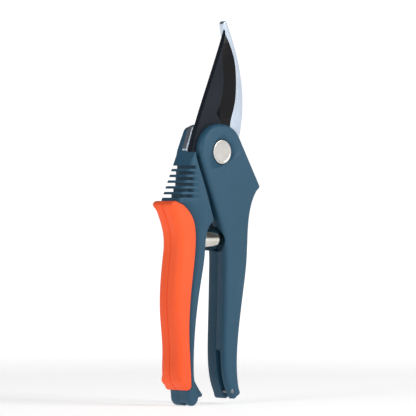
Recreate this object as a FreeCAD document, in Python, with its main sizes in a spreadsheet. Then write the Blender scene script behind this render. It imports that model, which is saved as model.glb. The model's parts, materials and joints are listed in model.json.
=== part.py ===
import FreeCAD, Part
import math
import os

# Bypass pruning shears, closed. Row frame: +Z runs from the butts to the tips, the pivot bolt's
# head faces -Y, +X is towards the handle that carries the cutting blade. Origin: bottom centre.
# The outlines below are drawn in the pivot's own plane: X and Z measured from the bolt's centre.

SIZES = [
    # overall
    ("hook_length", 70.0, "pivot centre to the hook's tip"),
    ("tip_step", 4.9, "hook's tip stands this far past the cutting blade's"),
    ("left_handle_length", 133.9, "pivot centre to the butt of the gripped handle"),
    ("butt_step", 2.7, "plain handle's butt stops this far above the other's"),
    ("handle_thickness", 15.0, "both handles, front face to rear face"),
    # head
    ("head_radius", 15.0, "round head of each handle, about the pivot"),
    ("corner_reach", 28.2, "pivot to the plain handle's shoulder, sideways"),
    ("corner_drop", 18.4, "pivot down to that shoulder"),
    ("blade_thickness", 3.0, "cutting blade's steel"),
    ("hook_thickness", 3.8, "hook's steel"),
    ("blade_gap", 0.1, "sliding gap between blade and hook"),
    ("blade_plane", 0.4, "cutting plane, in front of the mid-plane"),
    ("sweep_gap", 0.6, "room round what turns inside a shell"),
    ("swing_relief", 21.0, "hollow round the pivot that lets the hook pass"),
    ("blade_heel", 17.9, "pivot to the blade's heel"),
    # pivot
    ("bolt_head_radius", 6.5, "flat round head in the front recess"),
    ("bolt_head_thickness", 1.6, "head's rim"),
    ("bolt_proud", 0.4, "bolt head and nut stand this far out of the heads"),
    ("bolt_recess_radius", 6.8, "round recesses of the bolt's head and of the nut"),
    ("seat_gap", 0.1, "under the bolt's head, so that the lever turns freely"),
    ("bolt_shank_radius", 4.0, "plain part that the bushing runs on"),
    ("bolt_thread_radius", 3.0, "thread for the nut"),
    ("running_gap", 0.05, "radial clearance of what turns on a pin"),
    ("bushing_wall", 1.4, "sleeve between the bolt and the cutting lever"),
    ("nut_flats", 10.0, "across flats"),
    ("nut_thickness", 2.6, "across its faces"),
    ("washer_radius", 6.2, "under the nut"),
    ("washer_thickness", 0.8, "steel sheet"),
    # ribbed thumb rest
    ("rib_top", 8.2, "pivot down to the first slot's middle"),
    ("rib_pitch", 3.04, "from slot to slot"),
    ("rib_slot", 1.7, "height of each slot"),
    ("rib_depth", 4.4, "slots' depth from the outer side"),
    ("rib_face_depth", 3.0, "grooves' depth from the front and rear faces"),
    # grip
    ("grip_proud", 0.8, "soft grip stands out of the handle's faces"),
    ("grip_skin", 1.8, "grip's recess in the handle's faces"),
    ("grip_top", 26.2, "pivot down to the grip's top"),
    ("butt_bare", 8.3, "butt of the gripped handle left bare below the grip"),
    # spring
    ("spring_drop", 46.3, "pivot down to the spring's axis"),
    ("spring_radius", 6.2, "outside of the outer turn"),
    ("spring_steel", 0.7, "thickness of the strip"),
    ("spring_half_turns", 7, "half turns of the strip"),
    ("spring_core", 2.4, "radius of the inner turn"),
    ("spring_end_gap", 0.2, "spring's ends to the pockets' floors"),
    ("pocket_gap", 0.4, "room round the spring in its pockets"),
    ("left_pocket_floor", 14.5, "pivot line to the left pocket's floor"),
    ("right_pocket_floor", 6.2, "pivot line to the right pocket's floor"),
    ("pocket_mouth", 12.0, "cut from each pocket's floor out past the handle's side"),
    # fasteners
    ("screw_radius", 1.3, "shell screws' thread"),
    ("screw_head_radius", 2.7, "flat heads, flush with the rear face"),
    ("screw_head_depth", 1.8, "thickness of the heads"),
    ("screw_length", 12.0, "with the head"),
    ("screw_clearance", 0.1, "round heads and shanks in the rear shells"),
    ("tang_pin_radius", 1.75, "pins through the blades' tangs"),
    ("tang_pin_length", 9.0, "half of it each side of the mid-plane"),
    # catch
    ("catch_thickness", 3.0, "end catch that swings across to the plain handle"),
    ("catch_side_gap", 0.2, "each side of the catch in its slot"),
    ("catch_x", 18.5, "pivot line to the catch's pin, towards the grip"),
    ("catch_rise", 7.4, "butt of the gripped handle up to the catch's pin"),
    ("catch_reach", 29.5, "catch's pin to its nose"),
    ("catch_lean", 11.0, "degrees the parked catch leans from upright"),
    ("catch_arm", 3.2, "width of its arm"),
    ("catch_hub_radius", 4.1, "round the catch's pin"),
    ("catch_nose", 4.2, "nose's point, from the arm's middle line"),
    ("catch_tab", 7.7, "thumb tab's end, from the pin"),
    ("catch_pin_radius", 1.5, "pin that the catch turns on"),
    ("pin_front_cover", 1.5, "wall left in front of that pin"),
    ("pin_rear_cover", 3.0, "wall left behind that pin and the keeper pin"),
    ("keeper_radius", 1.25, "pin that the catch's nose hooks behind"),
    ("keeper_distance", 26.5, "catch's pin to the keeper pin"),
    ("keeper_sink", 0.5, "keeper pin below the catch's pin"),
]

doc = FreeCAD.newDocument("PruningShears")
sheet = doc.addObject("Spreadsheet::Sheet", "Sizes")
for row, (name, value, note) in enumerate(SIZES, start=1):
    sheet.set("A%d" % row, name)
    sheet.set("B%d" % row, str(value))
    sheet.set("C%d" % row, note)
    sheet.setAlias("B%d" % row, name)
doc.recompute()


def size(name):
    return float(sheet.get(name))


# Layers through the thickness, front (-Y) to rear (+Y), as expressions on the sheet.
FRONT = "-Sizes.handle_thickness / 2"
REAR = "Sizes.handle_thickness / 2"
BLADE_REAR = "-Sizes.blade_plane"
BLADE_FRONT = "-Sizes.blade_plane - Sizes.blade_thickness"
HOOK_FRONT = "-Sizes.blade_plane + Sizes.blade_gap"
HOOK_REAR = "-Sizes.blade_plane + Sizes.blade_gap + Sizes.hook_thickness"
GRIP_FRONT = "-Sizes.handle_thickness / 2 - Sizes.grip_proud"
GRIP_REAR = "Sizes.handle_thickness / 2 + Sizes.grip_proud"
GRIP_BED_FRONT = "-Sizes.handle_thickness / 2 + Sizes.grip_skin"
GRIP_BED_REAR = "Sizes.handle_thickness / 2 - Sizes.grip_skin"
MIDDLE = "0"

# The grip's lip is the part's left end and the shoulder its right end; the butt is its bottom.
LIP_X = -36.6

# Below the spring both handles' outlines are spread over what is left of their length.
NECK = 57.0

# ---------------------------------------------------------------- drawing helpers


def vec(point):
    return FreeCAD.Vector(point[0], point[1], 0)


def polar(centre, radius, degrees):
    angle = math.radians(degrees)
    return (centre[0] + radius * math.cos(angle), centre[1] + radius * math.sin(angle))


def tangent_point(radius, point, side):
    """Where the line from point touches the circle about the pivot; side +1 is anticlockwise."""
    distance = math.hypot(point[0], point[1])
    heading = math.degrees(math.atan2(point[1], point[0]))
    return polar((0, 0), radius, heading + side * math.degrees(math.acos(radius / distance)))


def line(end):
    return ("line", [end])


def arc(middle, end):
    return ("arc", [middle, end])


def curve(*points):
    return ("curve", list(points))


def outline(start, *moves):
    """Closed outline: lines, three-point arcs and smooth curves, one after the other."""
    edges = []
    here = start
    for kind, points in moves:
        if kind == "line":
            edges.append(Part.LineSegment(vec(here), vec(points[0])))
        elif kind == "arc":
            edges.append(Part.Arc(vec(here), vec(points[0]), vec(points[1])))
        else:
            smooth = Part.BSplineCurve()
            smooth.interpolate([vec(p) for p in [here] + points])
            edges.append(smooth)
        here = points[-1]
    if math.hypot(here[0] - start[0], here[1] - start[1]) > 1e-6:
        edges.append(Part.LineSegment(vec(here), vec(start)))
    return edges


def polygon(points):
    return outline(points[0], *[line(p) for p in points[1:]])


def circle(centre, radius):
    return [Part.Circle(vec(centre), FreeCAD.Vector(0, 0, 1), radius)]


def rectangle(left, right, low, high):
    return polygon([(left, low), (right, low), (right, high), (left, high)])


def new_body(label):
    body = doc.addObject("PartDesign::Body", label)
    body.Label = label
    return body


def plane(body, role):
    return [f for f in body.Origin.OriginFeatures if f.Role == role][0]


def sketch(body, name, edges, offset, role="XZ_Plane"):
    """A sketch on one of the body's own planes, moved along the plane's normal."""
    made = body.newObject("Sketcher::SketchObject", body.Label + "_" + name)
    made.AttachmentSupport = [(plane(body, role), "")]
    made.MapMode = "FlatFace"
    made.setExpression("AttachmentOffset.Base.z", offset)
    made.addGeometry(edges, False)
    return made


def pad(body, name, edges, front, rear):
    """Adds the outline's solid between two layers (the XZ plane's normal is -Y)."""
    feature = body.newObject("PartDesign::Pad", body.Label + "_" + name)
    feature.Profile = sketch(body, name + "_outline", edges, "-(%s)" % rear)
    feature.setExpression("Length", "(%s) - (%s)" % (rear, front))
    doc.recompute()
    return feature


def pocket(body, name, edges, front, rear):
    """Cuts the outline's solid between two layers, and proves that it cut something."""
    before = body.Shape.Volume
    feature = body.newObject("PartDesign::Pocket", body.Label + "_" + name)
    feature.Profile = sketch(body, name + "_outline", edges, "-(%s)" % front)
    feature.setExpression("Length", "(%s) - (%s)" % (rear, front))
    doc.recompute()
    if body.Shape.Volume >= before - 1e-3:
        raise RuntimeError("%s: %s cut nothing" % (body.Label, name))
    return feature


def side_pocket(body, name, edges, start, reverse):
    """Cuts along X from the floor at start; edges are drawn in Y and Z."""
    before = body.Shape.Volume
    feature = body.newObject("PartDesign::Pocket", body.Label + "_" + name)
    feature.Profile = sketch(body, name + "_outline", edges, start, "YZ_Plane")
    feature.setExpression("Length", "Sizes.pocket_mouth")
    feature.Reversed = reverse
    doc.recompute()
    if body.Shape.Volume >= before - 1e-3:
        raise RuntimeError("%s: %s cut nothing" % (body.Label, name))
    return feature


# ---------------------------------------------------------------- outlines


def side_line(z):
    """The gripped handle's outer side between its head and the grip."""
    top = (-14.1, 11.7)
    bottom = (-30.8, -25.7)
    return top[0] + (bottom[0] - top[0]) * (z - top[1]) / (bottom[1] - top[1])


def along(fraction, start, end):
    """Height of a station on a handle: a fraction of the way down from start to its butt."""
    return -(start + fraction * (end - start))


def left_z(fraction):
    return along(fraction, NECK, size("left_handle_length"))


def right_z(fraction):
    return along(fraction, NECK, size("left_handle_length") - size("butt_step"))


def blade_outline():
    tip = size("hook_length") - size("tip_step")
    heel = -size("blade_heel")
    return outline(
        (7.6, tip),
        curve((4.3, 0.87 * tip), (-7.0, 0.46 * tip), (-13.1, 0.232 * tip), (heel, 0.5)),
        curve((-17.2, -4.0), (-11.4, -11.6), (-6.0, -15.5)),
        line((5.5, -36.0)),
        arc((11.0, -37.6), (16.5, -36.0)),
        line((16.5, -6.0)),
        curve((14.4, 3.0), (12.6, 14.6), (15.4, 0.37 * tip), (16.9, 0.56 * tip), (15.4, 0.77 * tip),
              (12.0, 0.89 * tip), (7.6, tip)))


def hook_outline():
    tip = size("hook_length")
    return outline(
        (8.0, 0.969 * tip),
        arc((8.5, tip - 0.4), (9.8, tip)),
        curve((15.0, 0.841 * tip), (20.2, 0.61 * tip), (22.1, 0.379 * tip), (21.6, 18.4), (19.4, 7.2),
              (16.0, -2.5)),
        arc((11.0, -11.9), (-2.0, -15.9)),
        line((-12.0, -34.5)),
        arc((-15.6, -37.0), (-19.5, -34.5)),
        line((-17.0, -6.0)),
        line((-19.1, 1.1)),
        line((-14.5, 13.5)),
        curve((-5.0, 15.5), (4.0, 18.0), (10.5, 0.36 * tip), (12.4, 0.53 * tip), (11.6, 0.70 * tip),
              (9.4, 0.86 * tip), (8.0, 0.969 * tip)))


def right_outer():
    return curve((22.7, -26.9), (20.0, -39.0), (18.9, right_z(0.0)), (16.4, right_z(0.23)),
                 (12.9, right_z(0.53)), (11.7, right_z(0.74)), (13.7, right_z(0.962)))


def right_inner():
    butt = right_z(1.0)
    return [line((9.6, butt)), line((8.6, butt + 0.2)),
            curve((5.0, right_z(0.91)), (2.2, right_z(0.67)), (2.6, right_z(0.40)), (3.2, right_z(0.1)),
                  (2.6, -47.5), (0.7, -40.5))]


def right_front_outline():
    corner = (size("corner_reach"), -size("corner_drop"))
    neck = (0.7, -40.5)
    head = size("head_radius")
    right = tangent_point(head, corner, 1)
    left = tangent_point(head, neck, -1)
    return outline(corner, right_outer(), *right_inner(), line(left),
                   arc(polar((0, 0), head, 115), right), line(corner))


def right_rear_outline():
    corner = (size("corner_reach"), -size("corner_drop"))
    return outline(corner, right_outer(), *right_inner(), line((5.4, -35.9)), line((10.7, -20.9)),
                   line((17.3, -7.6)), line((20.4, -5.4)), line(corner))


def core_side():
    """The gripped handle's outer side under the grip, down to its butt."""
    return curve((-30.9, -30.0), (-28.0, -42.0), (-28.2, left_z(0.0)), (-30.2, left_z(0.37)),
                 (-28.5, left_z(0.66)), (-24.6, left_z(0.88)))


def left_butt():
    butt = left_z(1.0)
    return [line((-24.0, butt + 5.5)), arc((-22.9, butt + 1.6), (-19.6, butt)),
            arc((-17.0, butt + 2.0), (-16.1, butt + 5.9))]


def left_inner():
    return curve((-18.6, left_z(0.845)), (-19.4, left_z(0.73)), (-18.4, left_z(0.49)),
                 (-14.3, left_z(0.16)), (-11.4, -54.0), (-10.6, -46.0), (-8.6, -39.8))


def left_front_outline():
    top = 0.3
    return outline(
        (side_line(top), top),
        line((side_line(-25.7), -25.7)),
        core_side(), *left_butt(), left_inner(),
        line((-5.4, -36.2)), line((-10.7, -20.9)), line((-17.3, -4.7)),
        line((-19.1, top)), line((side_line(top), top)))


def left_rear_outline():
    head = size("head_radius")
    nose = (-1.6, -38.0)
    right = tangent_point(head, nose, 1)
    return outline(
        (-14.1, 11.7),
        line((side_line(-25.7), -25.7)),
        core_side(), *left_butt(), left_inner(),
        line(nose), line(right),
        arc(polar((0, 0), head, 45), polar((0, 0), head, 100)), line((-11.8, 13.2)), line((-14.1, 11.7)))


def grip_outline():
    top = -size("grip_top")
    bottom = size("butt_bare") - size("left_handle_length")
    return outline(
        (-31.7, top),
        arc((-35.2, top - 0.2), (LIP_X, top - 2.2)),
        curve((-33.0, -36.0), (-30.3, -45.0), (-31.1, left_z(0.0)), (-32.8, left_z(0.37)),
              (-31.1, left_z(0.66)), (-28.2, left_z(0.86)), (-27.2, bottom + 1.8)),
        arc((-26.7, bottom + 0.5), (-25.6, bottom)),
        line((-24.2, bottom)),
        arc((-22.5, bottom + 0.9), (-21.9, bottom + 3.0)),
        curve((-22.4, left_z(0.75)), (-23.5, left_z(0.5)), (-21.3, left_z(0.14)), (-18.9, -46.0),
              (-20.6, -35.6), (-25.0, -30.0), (-31.7, top)))


def core_outline():
    """What the grip is hollowed by: the handle's core and everything on its inner side."""
    return outline(
        (side_line(-25.7), -25.7), core_side(), line((-24.0, left_z(1.0))), line((0, left_z(1.0))),
        line((0, -20.0)), line((side_line(-25.7), -20.0)), line((side_line(-25.7), -25.7)))


# ---------------------------------------------------------------- shared features


def screw_places(side):
    """Screws hold the shells together below the spring and above it."""
    if side == "left":
        return [(-21.3, -29.5), (-17.3, left_z(0.12)), (-20.4, left_z(0.42))]
    return [(18.4, -29.5), (11.2, left_z(0.1)), (7.6, left_z(0.42))]


def tang_pin_places(side):
    if side == "left":
        return [(-14.5, -20.0), (-15.4, -32.0)]
    return [(13.0, -21.5), (10.0, -32.0)]


SCREW_TIP = "Sizes.handle_thickness / 2 - Sizes.screw_length"
SCREW_SEAT = "Sizes.handle_thickness / 2 - Sizes.screw_head_depth"
TANG_PIN_FRONT = "-Sizes.tang_pin_length / 2"
TANG_PIN_REAR = "Sizes.tang_pin_length / 2"
CATCH_PIN_FRONT = "-Sizes.handle_thickness / 2 + Sizes.pin_front_cover"
CATCH_PIN_REAR = "Sizes.handle_thickness / 2 - Sizes.pin_rear_cover"


def many(edge_lists):
    return [edge for edges in edge_lists for edge in edges]


def circles(places, radius):
    return many([circle(place, radius) for place in places])


def rib_heights():
    return [-size("rib_top") - i * size("rib_pitch") for i in range(6)]


def cut_ribs(body, face_front, face_rear):
    """Slots right through from the outer side, and longer grooves in the face."""
    half = size("rib_slot") / 2
    slots = []
    grooves = []
    for z in rib_heights():
        floor = side_line(z) + size("rib_depth")
        slots.append(rectangle(side_line(z) - 5, floor, z - half, z + half))
        groove_end = -19.2 - 0.08 * (abs(z) - size("rib_top"))
        grooves.append(rectangle(side_line(z) - 5, groove_end, z - half, z + half))
    pocket(body, "rib_slots", many(slots), FRONT, REAR)
    pocket(body, "rib_grooves", many(grooves), face_front, face_rear)


def catch_centre():
    return (-size("catch_x"), size("catch_rise") - size("left_handle_length"))


def keeper_centre():
    centre = catch_centre()
    reach = math.sqrt(size("keeper_distance") ** 2 - size("keeper_sink") ** 2)
    return (centre[0] + reach, centre[1] - size("keeper_sink"))


CATCH_REAR = "-Sizes.blade_plane - Sizes.catch_side_gap"
CATCH_FRONT = "-Sizes.blade_plane - Sizes.catch_side_gap - Sizes.catch_thickness"
CATCH_SLOT_FRONT = "-Sizes.blade_plane - 2 * Sizes.catch_side_gap - Sizes.catch_thickness"


def from_catch(distance, offset):
    """A point on the parked catch: distance up its arm from the pin, offset towards the gap."""
    lean = math.radians(size("catch_lean"))
    centre = catch_centre()
    return (centre[0] - distance * math.sin(lean) + offset * math.cos(lean),
            centre[1] + distance * math.cos(lean) + offset * math.sin(lean))


def catch_outline():
    reach = size("catch_reach")
    half = size("catch_arm") / 2
    hub = size("catch_hub_radius")
    centre = catch_centre()
    nose = size("catch_nose")
    tab = size("catch_tab")
    return outline(
        polar(centre, hub, 200),
        line(from_catch(12.0, -half - 0.4)),
        line(from_catch(reach - 0.8, -half - 0.2)),
        arc(from_catch(reach - 0.2, -half + 0.2), from_catch(reach, -half + 1.2)),
        line(from_catch(reach, nose - 0.5)),
        arc(from_catch(reach - 0.15, nose - 0.15), from_catch(reach - 0.5, nose)),
        line(from_catch(reach - 1.4, nose)),
        line(from_catch(reach - 1.4, half - 0.4)),
        line(from_catch(12.5, half - 0.4)),
        curve((centre[0] + 3.9, centre[1] + 3.6), (centre[0] + tab, centre[1] - 1.2)),
        arc((centre[0] + tab + 0.2, centre[1] - 2.2), (centre[0] + tab - 0.7, centre[1] - 2.9)),
        line(polar(centre, hub, 285)),
        arc(polar(centre, hub, 245), polar(centre, hub, 200)))


def catch_slot_outline():
    """Room in the gripped handle for the parked catch and for its swing."""
    gap = size("sweep_gap")
    half = size("catch_arm") / 2
    hub = size("catch_hub_radius")
    centre = catch_centre()
    high = size("catch_reach") + gap
    return outline(
        from_catch(high, 12.0),
        line(from_catch(high, -half - gap - 0.2)),
        line(from_catch(10.0, -half - gap - 0.6)),
        line(polar(centre, hub + gap, 190)),
        line((centre[0] - hub - 0.3, centre[1] - 8.2)),
        line((centre[0] - hub - 0.3, centre[1] - 12)),
        line((centre[0] + 14, centre[1] - 12)),
        line((centre[0] + 14, centre[1] + 10)),
        line(from_catch(high, 12.0)))


# ---------------------------------------------------------------- the gripped handle's lever


def make_hook():
    body = new_body("hook_blade")
    pad(body, "plate", hook_outline(), HOOK_FRONT, HOOK_REAR)
    pocket(body, "pivot_hole", circle((0, 0), size("bolt_shank_radius")), HOOK_FRONT, HOOK_REAR)
    pocket(body, "pin_holes", circles(tang_pin_places("left"), size("tang_pin_radius")),
           HOOK_FRONT, HOOK_REAR)
    return body


def make_left_front():
    body = new_body("left_front_shell")
    pad(body, "shell", left_front_outline(), FRONT, HOOK_FRONT)
    cut_ribs(body, FRONT, "%s + Sizes.rib_face_depth" % FRONT)
    pocket(body, "grip_bed", grip_outline(), FRONT, GRIP_BED_FRONT)
    pocket(body, "heel_room", circle((0, 0), size("blade_heel") + size("sweep_gap")),
           "%s - Sizes.catch_side_gap" % BLADE_FRONT, HOOK_FRONT)
    pocket(body, "tang_pin_holes", circles(tang_pin_places("left"), size("tang_pin_radius")),
           TANG_PIN_FRONT, HOOK_FRONT)
    pocket(body, "screw_holes", circles(screw_places("left"), size("screw_radius")),
           SCREW_TIP, HOOK_FRONT)
    pocket(body, "catch_slot", catch_slot_outline(), CATCH_SLOT_FRONT, HOOK_FRONT)
    pocket(body, "catch_pin_hole", circle(catch_centre(), size("catch_pin_radius")),
           CATCH_PIN_FRONT, HOOK_FRONT)
    spring_pocket(body, "left")
    return body


def make_left_rear():
    body = new_body("left_rear_shell")
    pad(body, "shell", left_rear_outline(), HOOK_FRONT, REAR)
    pocket(body, "hook_bed", hook_outline(), HOOK_FRONT, HOOK_REAR)
    cut_ribs(body, "%s - Sizes.rib_face_depth" % REAR, REAR)
    pocket(body, "grip_bed", grip_outline(), GRIP_BED_REAR, REAR)
    pocket(body, "pivot_hole", circle((0, 0), size("bolt_shank_radius")), HOOK_FRONT, REAR)
    pocket(body, "nut_recess", circle((0, 0), size("bolt_recess_radius")), WASHER_FRONT, REAR)
    pocket(body, "tang_pin_holes", circles(tang_pin_places("left"), size("tang_pin_radius")),
           HOOK_FRONT, TANG_PIN_REAR)
    cut_screw_seats(body, "left", HOOK_FRONT)
    pocket(body, "catch_pin_hole", circle(catch_centre(), size("catch_pin_radius")),
           HOOK_FRONT, CATCH_PIN_REAR)
    spring_pocket(body, "left")
    return body


def cut_screw_seats(body, side, inner_face):
    places = screw_places(side)
    pocket(body, "screw_clearance", circles(places, size("screw_radius") + size("screw_clearance")),
           inner_face, REAR)
    pocket(body, "screw_seats", circles(places, size("screw_head_radius") + size("screw_clearance")),
           SCREW_SEAT, REAR)


def spring_pocket(body, side):
    """Round pocket for one end of the spring, sunk along X into the handle's inner side."""
    edges = circle((0, -size("spring_drop")), size("spring_radius") + size("pocket_gap"))
    if side == "left":
        side_pocket(body, "spring_pocket", edges, "-Sizes.left_pocket_floor", True)
    else:
        side_pocket(body, "spring_pocket", edges, "Sizes.right_pocket_floor", False)


def make_grip_half(label, front, rear, bed_front, bed_rear):
    """Half of the soft grip: a wall round the outer side and a skin over the face."""
    body = new_body(label)
    pad(body, "grip", grip_outline(), front, rear)
    pocket(body, "core", core_outline(), bed_front, bed_rear)
    return body


def make_screws(side):
    """Screws driven from the rear, as one group."""
    places = screw_places(side)
    solids = [cylinder(place, "screw_radius", SCREW_TIP, SCREW_SEAT) for place in places]
    heads = [cylinder(place, "screw_head_radius", SCREW_SEAT, REAR) for place in places]
    return fuse_all(side + "_shell_screws", solids + heads)


def make_tang_pins(name, side):
    """Steel pins that hold the tang between the shells, as one group."""
    pins = [cylinder(place, "tang_pin_radius", TANG_PIN_FRONT, TANG_PIN_REAR)
            for place in tang_pin_places(side)]
    return fuse_all(name, pins)


# ---------------------------------------------------------------- the pivot

BOLT_FRONT = "-Sizes.handle_thickness / 2 - Sizes.bolt_proud"
BOLT_SEAT = "-Sizes.handle_thickness / 2 - Sizes.bolt_proud + Sizes.bolt_head_thickness"
LOBE_SEAT = "-Sizes.handle_thickness / 2 - Sizes.bolt_proud + Sizes.bolt_head_thickness + Sizes.seat_gap"
NUT_REAR = "Sizes.handle_thickness / 2 + Sizes.bolt_proud"
NUT_FRONT = "Sizes.handle_thickness / 2 + Sizes.bolt_proud - Sizes.nut_thickness"
WASHER_FRONT = NUT_FRONT + " - Sizes.washer_thickness"


def cylinder(centre, radius_name, front, rear, extra=""):
    """A Part cylinder along Y between two layers."""
    made = doc.addObject("Part::Cylinder", "Cylinder")
    made.setExpression("Radius", "Sizes." + radius_name + extra)
    made.setExpression("Height", "(%s) - (%s)" % (rear, front))
    turn = FreeCAD.Rotation(FreeCAD.Vector(1, 0, 0), 90)
    made.Placement = FreeCAD.Placement(FreeCAD.Vector(centre[0], 0, centre[1]), turn)
    made.setExpression("Placement.Base.y", rear)
    return made


def fuse_all(label, shapes):
    made = doc.addObject("Part::MultiFuse", label)
    made.Label = label
    made.Shapes = shapes
    doc.recompute()
    return made


def cut(label, base, tool):
    made = doc.addObject("Part::Cut", label)
    made.Label = label
    made.Base = base
    made.Tool = tool
    doc.recompute()
    return made


def make_bolt():
    head = cylinder((0, 0), "bolt_head_radius", BOLT_FRONT, BOLT_SEAT)
    shank = cylinder((0, 0), "bolt_shank_radius", BOLT_SEAT, WASHER_FRONT)
    thread = cylinder((0, 0), "bolt_thread_radius", WASHER_FRONT, NUT_REAR)
    return fuse_all("pivot_bolt", [head, shank, thread])


def make_washer():
    ring = cylinder((0, 0), "washer_radius", WASHER_FRONT, NUT_FRONT)
    hole = cylinder((0, 0), "bolt_thread_radius", WASHER_FRONT, NUT_FRONT)
    return cut("pivot_washer", ring, hole)


def make_nut():
    corner = size("nut_flats") / math.sqrt(3)
    body = new_body("pivot_nut")
    pad(body, "hexagon", polygon([polar((0, 0), corner, 60 * i) for i in range(6)]), NUT_FRONT, NUT_REAR)
    pocket(body, "hole", circle((0, 0), size("bolt_thread_radius")), NUT_FRONT, NUT_REAR)
    return body


def make_bushing():
    """Sleeve pressed into the cutting blade and its handle, running on the bolt."""
    outside = cylinder((0, 0), "bolt_shank_radius", LOBE_SEAT, BLADE_REAR,
                       " + Sizes.running_gap + Sizes.bushing_wall")
    bore = cylinder((0, 0), "bolt_shank_radius", LOBE_SEAT, BLADE_REAR, " + Sizes.running_gap")
    return cut("pivot_bushing", outside, bore)


def bushing_radius():
    return size("bolt_shank_radius") + size("running_gap") + size("bushing_wall")


# ---------------------------------------------------------------- the plain handle's lever


def make_blade():
    body = new_body("cutting_blade")
    pad(body, "plate", blade_outline(), BLADE_FRONT, BLADE_REAR)
    pocket(body, "pivot_hole", circle((0, 0), bushing_radius()), BLADE_FRONT, BLADE_REAR)
    pocket(body, "pin_holes", circles(tang_pin_places("right"), size("tang_pin_radius")),
           BLADE_FRONT, BLADE_REAR)
    return body


def keeper_room():
    """The nose of the catch sweeps this circle about the catch's pin."""
    corner = math.hypot(size("catch_reach"), size("catch_nose"))
    return circle(catch_centre(), corner + size("sweep_gap") / 2)


def make_right_front():
    body = new_body("right_front_shell")
    pad(body, "shell", right_front_outline(), FRONT, BLADE_REAR)
    pocket(body, "blade_bed", blade_outline(), BLADE_FRONT, BLADE_REAR)
    pocket(body, "bushing_hole", circle((0, 0), bushing_radius()), FRONT, BLADE_REAR)
    pocket(body, "bolt_recess", circle((0, 0), size("bolt_recess_radius")), FRONT, LOBE_SEAT)
    pocket(body, "tang_pin_holes", circles(tang_pin_places("right"), size("tang_pin_radius")),
           TANG_PIN_FRONT, BLADE_REAR)
    pocket(body, "screw_holes", circles(screw_places("right"), size("screw_radius")),
           SCREW_TIP, BLADE_REAR)
    pocket(body, "keeper_room", keeper_room(), CATCH_SLOT_FRONT, BLADE_REAR)
    pocket(body, "keeper_hole", circle(keeper_centre(), size("keeper_radius")), FRONT, BLADE_REAR)
    spring_pocket(body, "right")
    return body


def make_right_rear():
    body = new_body("right_rear_shell")
    pad(body, "shell", right_rear_outline(), BLADE_REAR, REAR)
    pocket(body, "hook_room", circle((0, 0), size("swing_relief")), BLADE_REAR,
           "%s + Sizes.catch_side_gap" % HOOK_REAR)
    pocket(body, "tang_pin_holes", circles(tang_pin_places("right"), size("tang_pin_radius")),
           BLADE_REAR, TANG_PIN_REAR)
    cut_screw_seats(body, "right", BLADE_REAR)
    pocket(body, "keeper_hole", circle(keeper_centre(), size("keeper_radius")), BLADE_REAR,
           CATCH_PIN_REAR)
    spring_pocket(body, "right")
    return body


# ---------------------------------------------------------------- spring and catch


def make_spring():
    """A flat strip wound about an axis along X, between the floors of the two pockets."""
    steel = size("spring_steel")
    half_turns = int(size("spring_half_turns"))
    step = (size("spring_radius") - size("spring_core")) / half_turns
    middle = -size("spring_drop")
    outer_moves = []
    inner_moves = []
    for i in range(half_turns):
        centre = (0 if i % 2 == 0 else -step, middle)
        radius = size("spring_radius") - i * step
        turn = 180 * i
        outer_moves.append(arc(polar(centre, radius, turn + 90), polar(centre, radius, turn + 180)))
        inner_moves.append(arc(polar(centre, radius - steel, turn + 90),
                               polar(centre, radius - steel, turn)))
    inner_end = polar(centre, radius - steel, turn + 180)
    body = new_body("volute_spring")
    feature = body.newObject("PartDesign::Pad", "volute_spring_strip")
    feature.Profile = sketch(
        body, "strip_outline",
        outline(polar((0, middle), size("spring_radius"), 0), *outer_moves, line(inner_end),
                *reversed(inner_moves)),
        "-Sizes.left_pocket_floor + Sizes.spring_end_gap", "YZ_Plane")
    feature.setExpression("Length", "Sizes.left_pocket_floor + Sizes.right_pocket_floor"
                          " - 2 * Sizes.spring_end_gap")
    doc.recompute()
    return body


def make_catch():
    body = new_body("catch_lever")
    pad(body, "lever", catch_outline(), CATCH_FRONT, CATCH_REAR)
    pocket(body, "pin_hole", circle(catch_centre(), size("catch_pin_radius") + size("running_gap")),
           CATCH_FRONT, CATCH_REAR)
    return body


def make_catch_pin():
    return fuse_all("catch_pin", [
        cylinder(catch_centre(), "catch_pin_radius", CATCH_PIN_FRONT, MIDDLE),
        cylinder(catch_centre(), "catch_pin_radius", MIDDLE, CATCH_PIN_REAR)])


def make_keeper_pin():
    return fuse_all("catch_keeper_pin", [
        cylinder(keeper_centre(), "keeper_radius", FRONT, MIDDLE),
        cylinder(keeper_centre(), "keeper_radius", MIDDLE, CATCH_PIN_REAR)])


# ---------------------------------------------------------------- build, check and write

parts = [
    make_hook(), make_left_front(), make_left_rear(),
    make_grip_half("grip_front", GRIP_FRONT, MIDDLE, GRIP_BED_FRONT, MIDDLE),
    make_grip_half("grip_rear", MIDDLE, GRIP_REAR, MIDDLE, GRIP_BED_REAR),
    make_screws("left"), make_tang_pins("hook_tang_pins", "left"),
    make_bolt(), make_washer(), make_nut(), make_spring(), make_catch_pin(), make_catch(),
    make_blade(), make_right_front(), make_right_rear(),
    make_screws("right"), make_tang_pins("blade_tang_pins", "right"),
    make_bushing(), make_keeper_pin()]
doc.recompute()

for item in doc.Objects:
    if "Invalid" in item.State or "Error" in item.State:
        raise RuntimeError("%s failed: %s" % (item.Label, item.State))

shift = FreeCAD.Vector((-LIP_X - size("corner_reach")) / 2, 0, size("left_handle_length"))
os.makedirs("parts", exist_ok=True)
for item in parts:
    item.Placement.Base = item.Placement.Base + shift
    doc.recompute()
    shape = item.Shape
    if shape.isNull() or not shape.isValid():
        raise RuntimeError("%s has no valid shape" % item.Label)
    shape.exportStep("parts/%s.step" % item.Label)
    box = shape.BoundBox
    print("%-20s solids %d  volume %9.1f  X %7.1f %7.1f  Y %6.2f %6.2f  Z %7.1f %7.1f" % (
        item.Label, len(shape.Solids), shape.Volume, box.XMin, box.XMax, box.YMin, box.YMax,
        box.ZMin, box.ZMax))
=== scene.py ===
import json
import math

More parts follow.
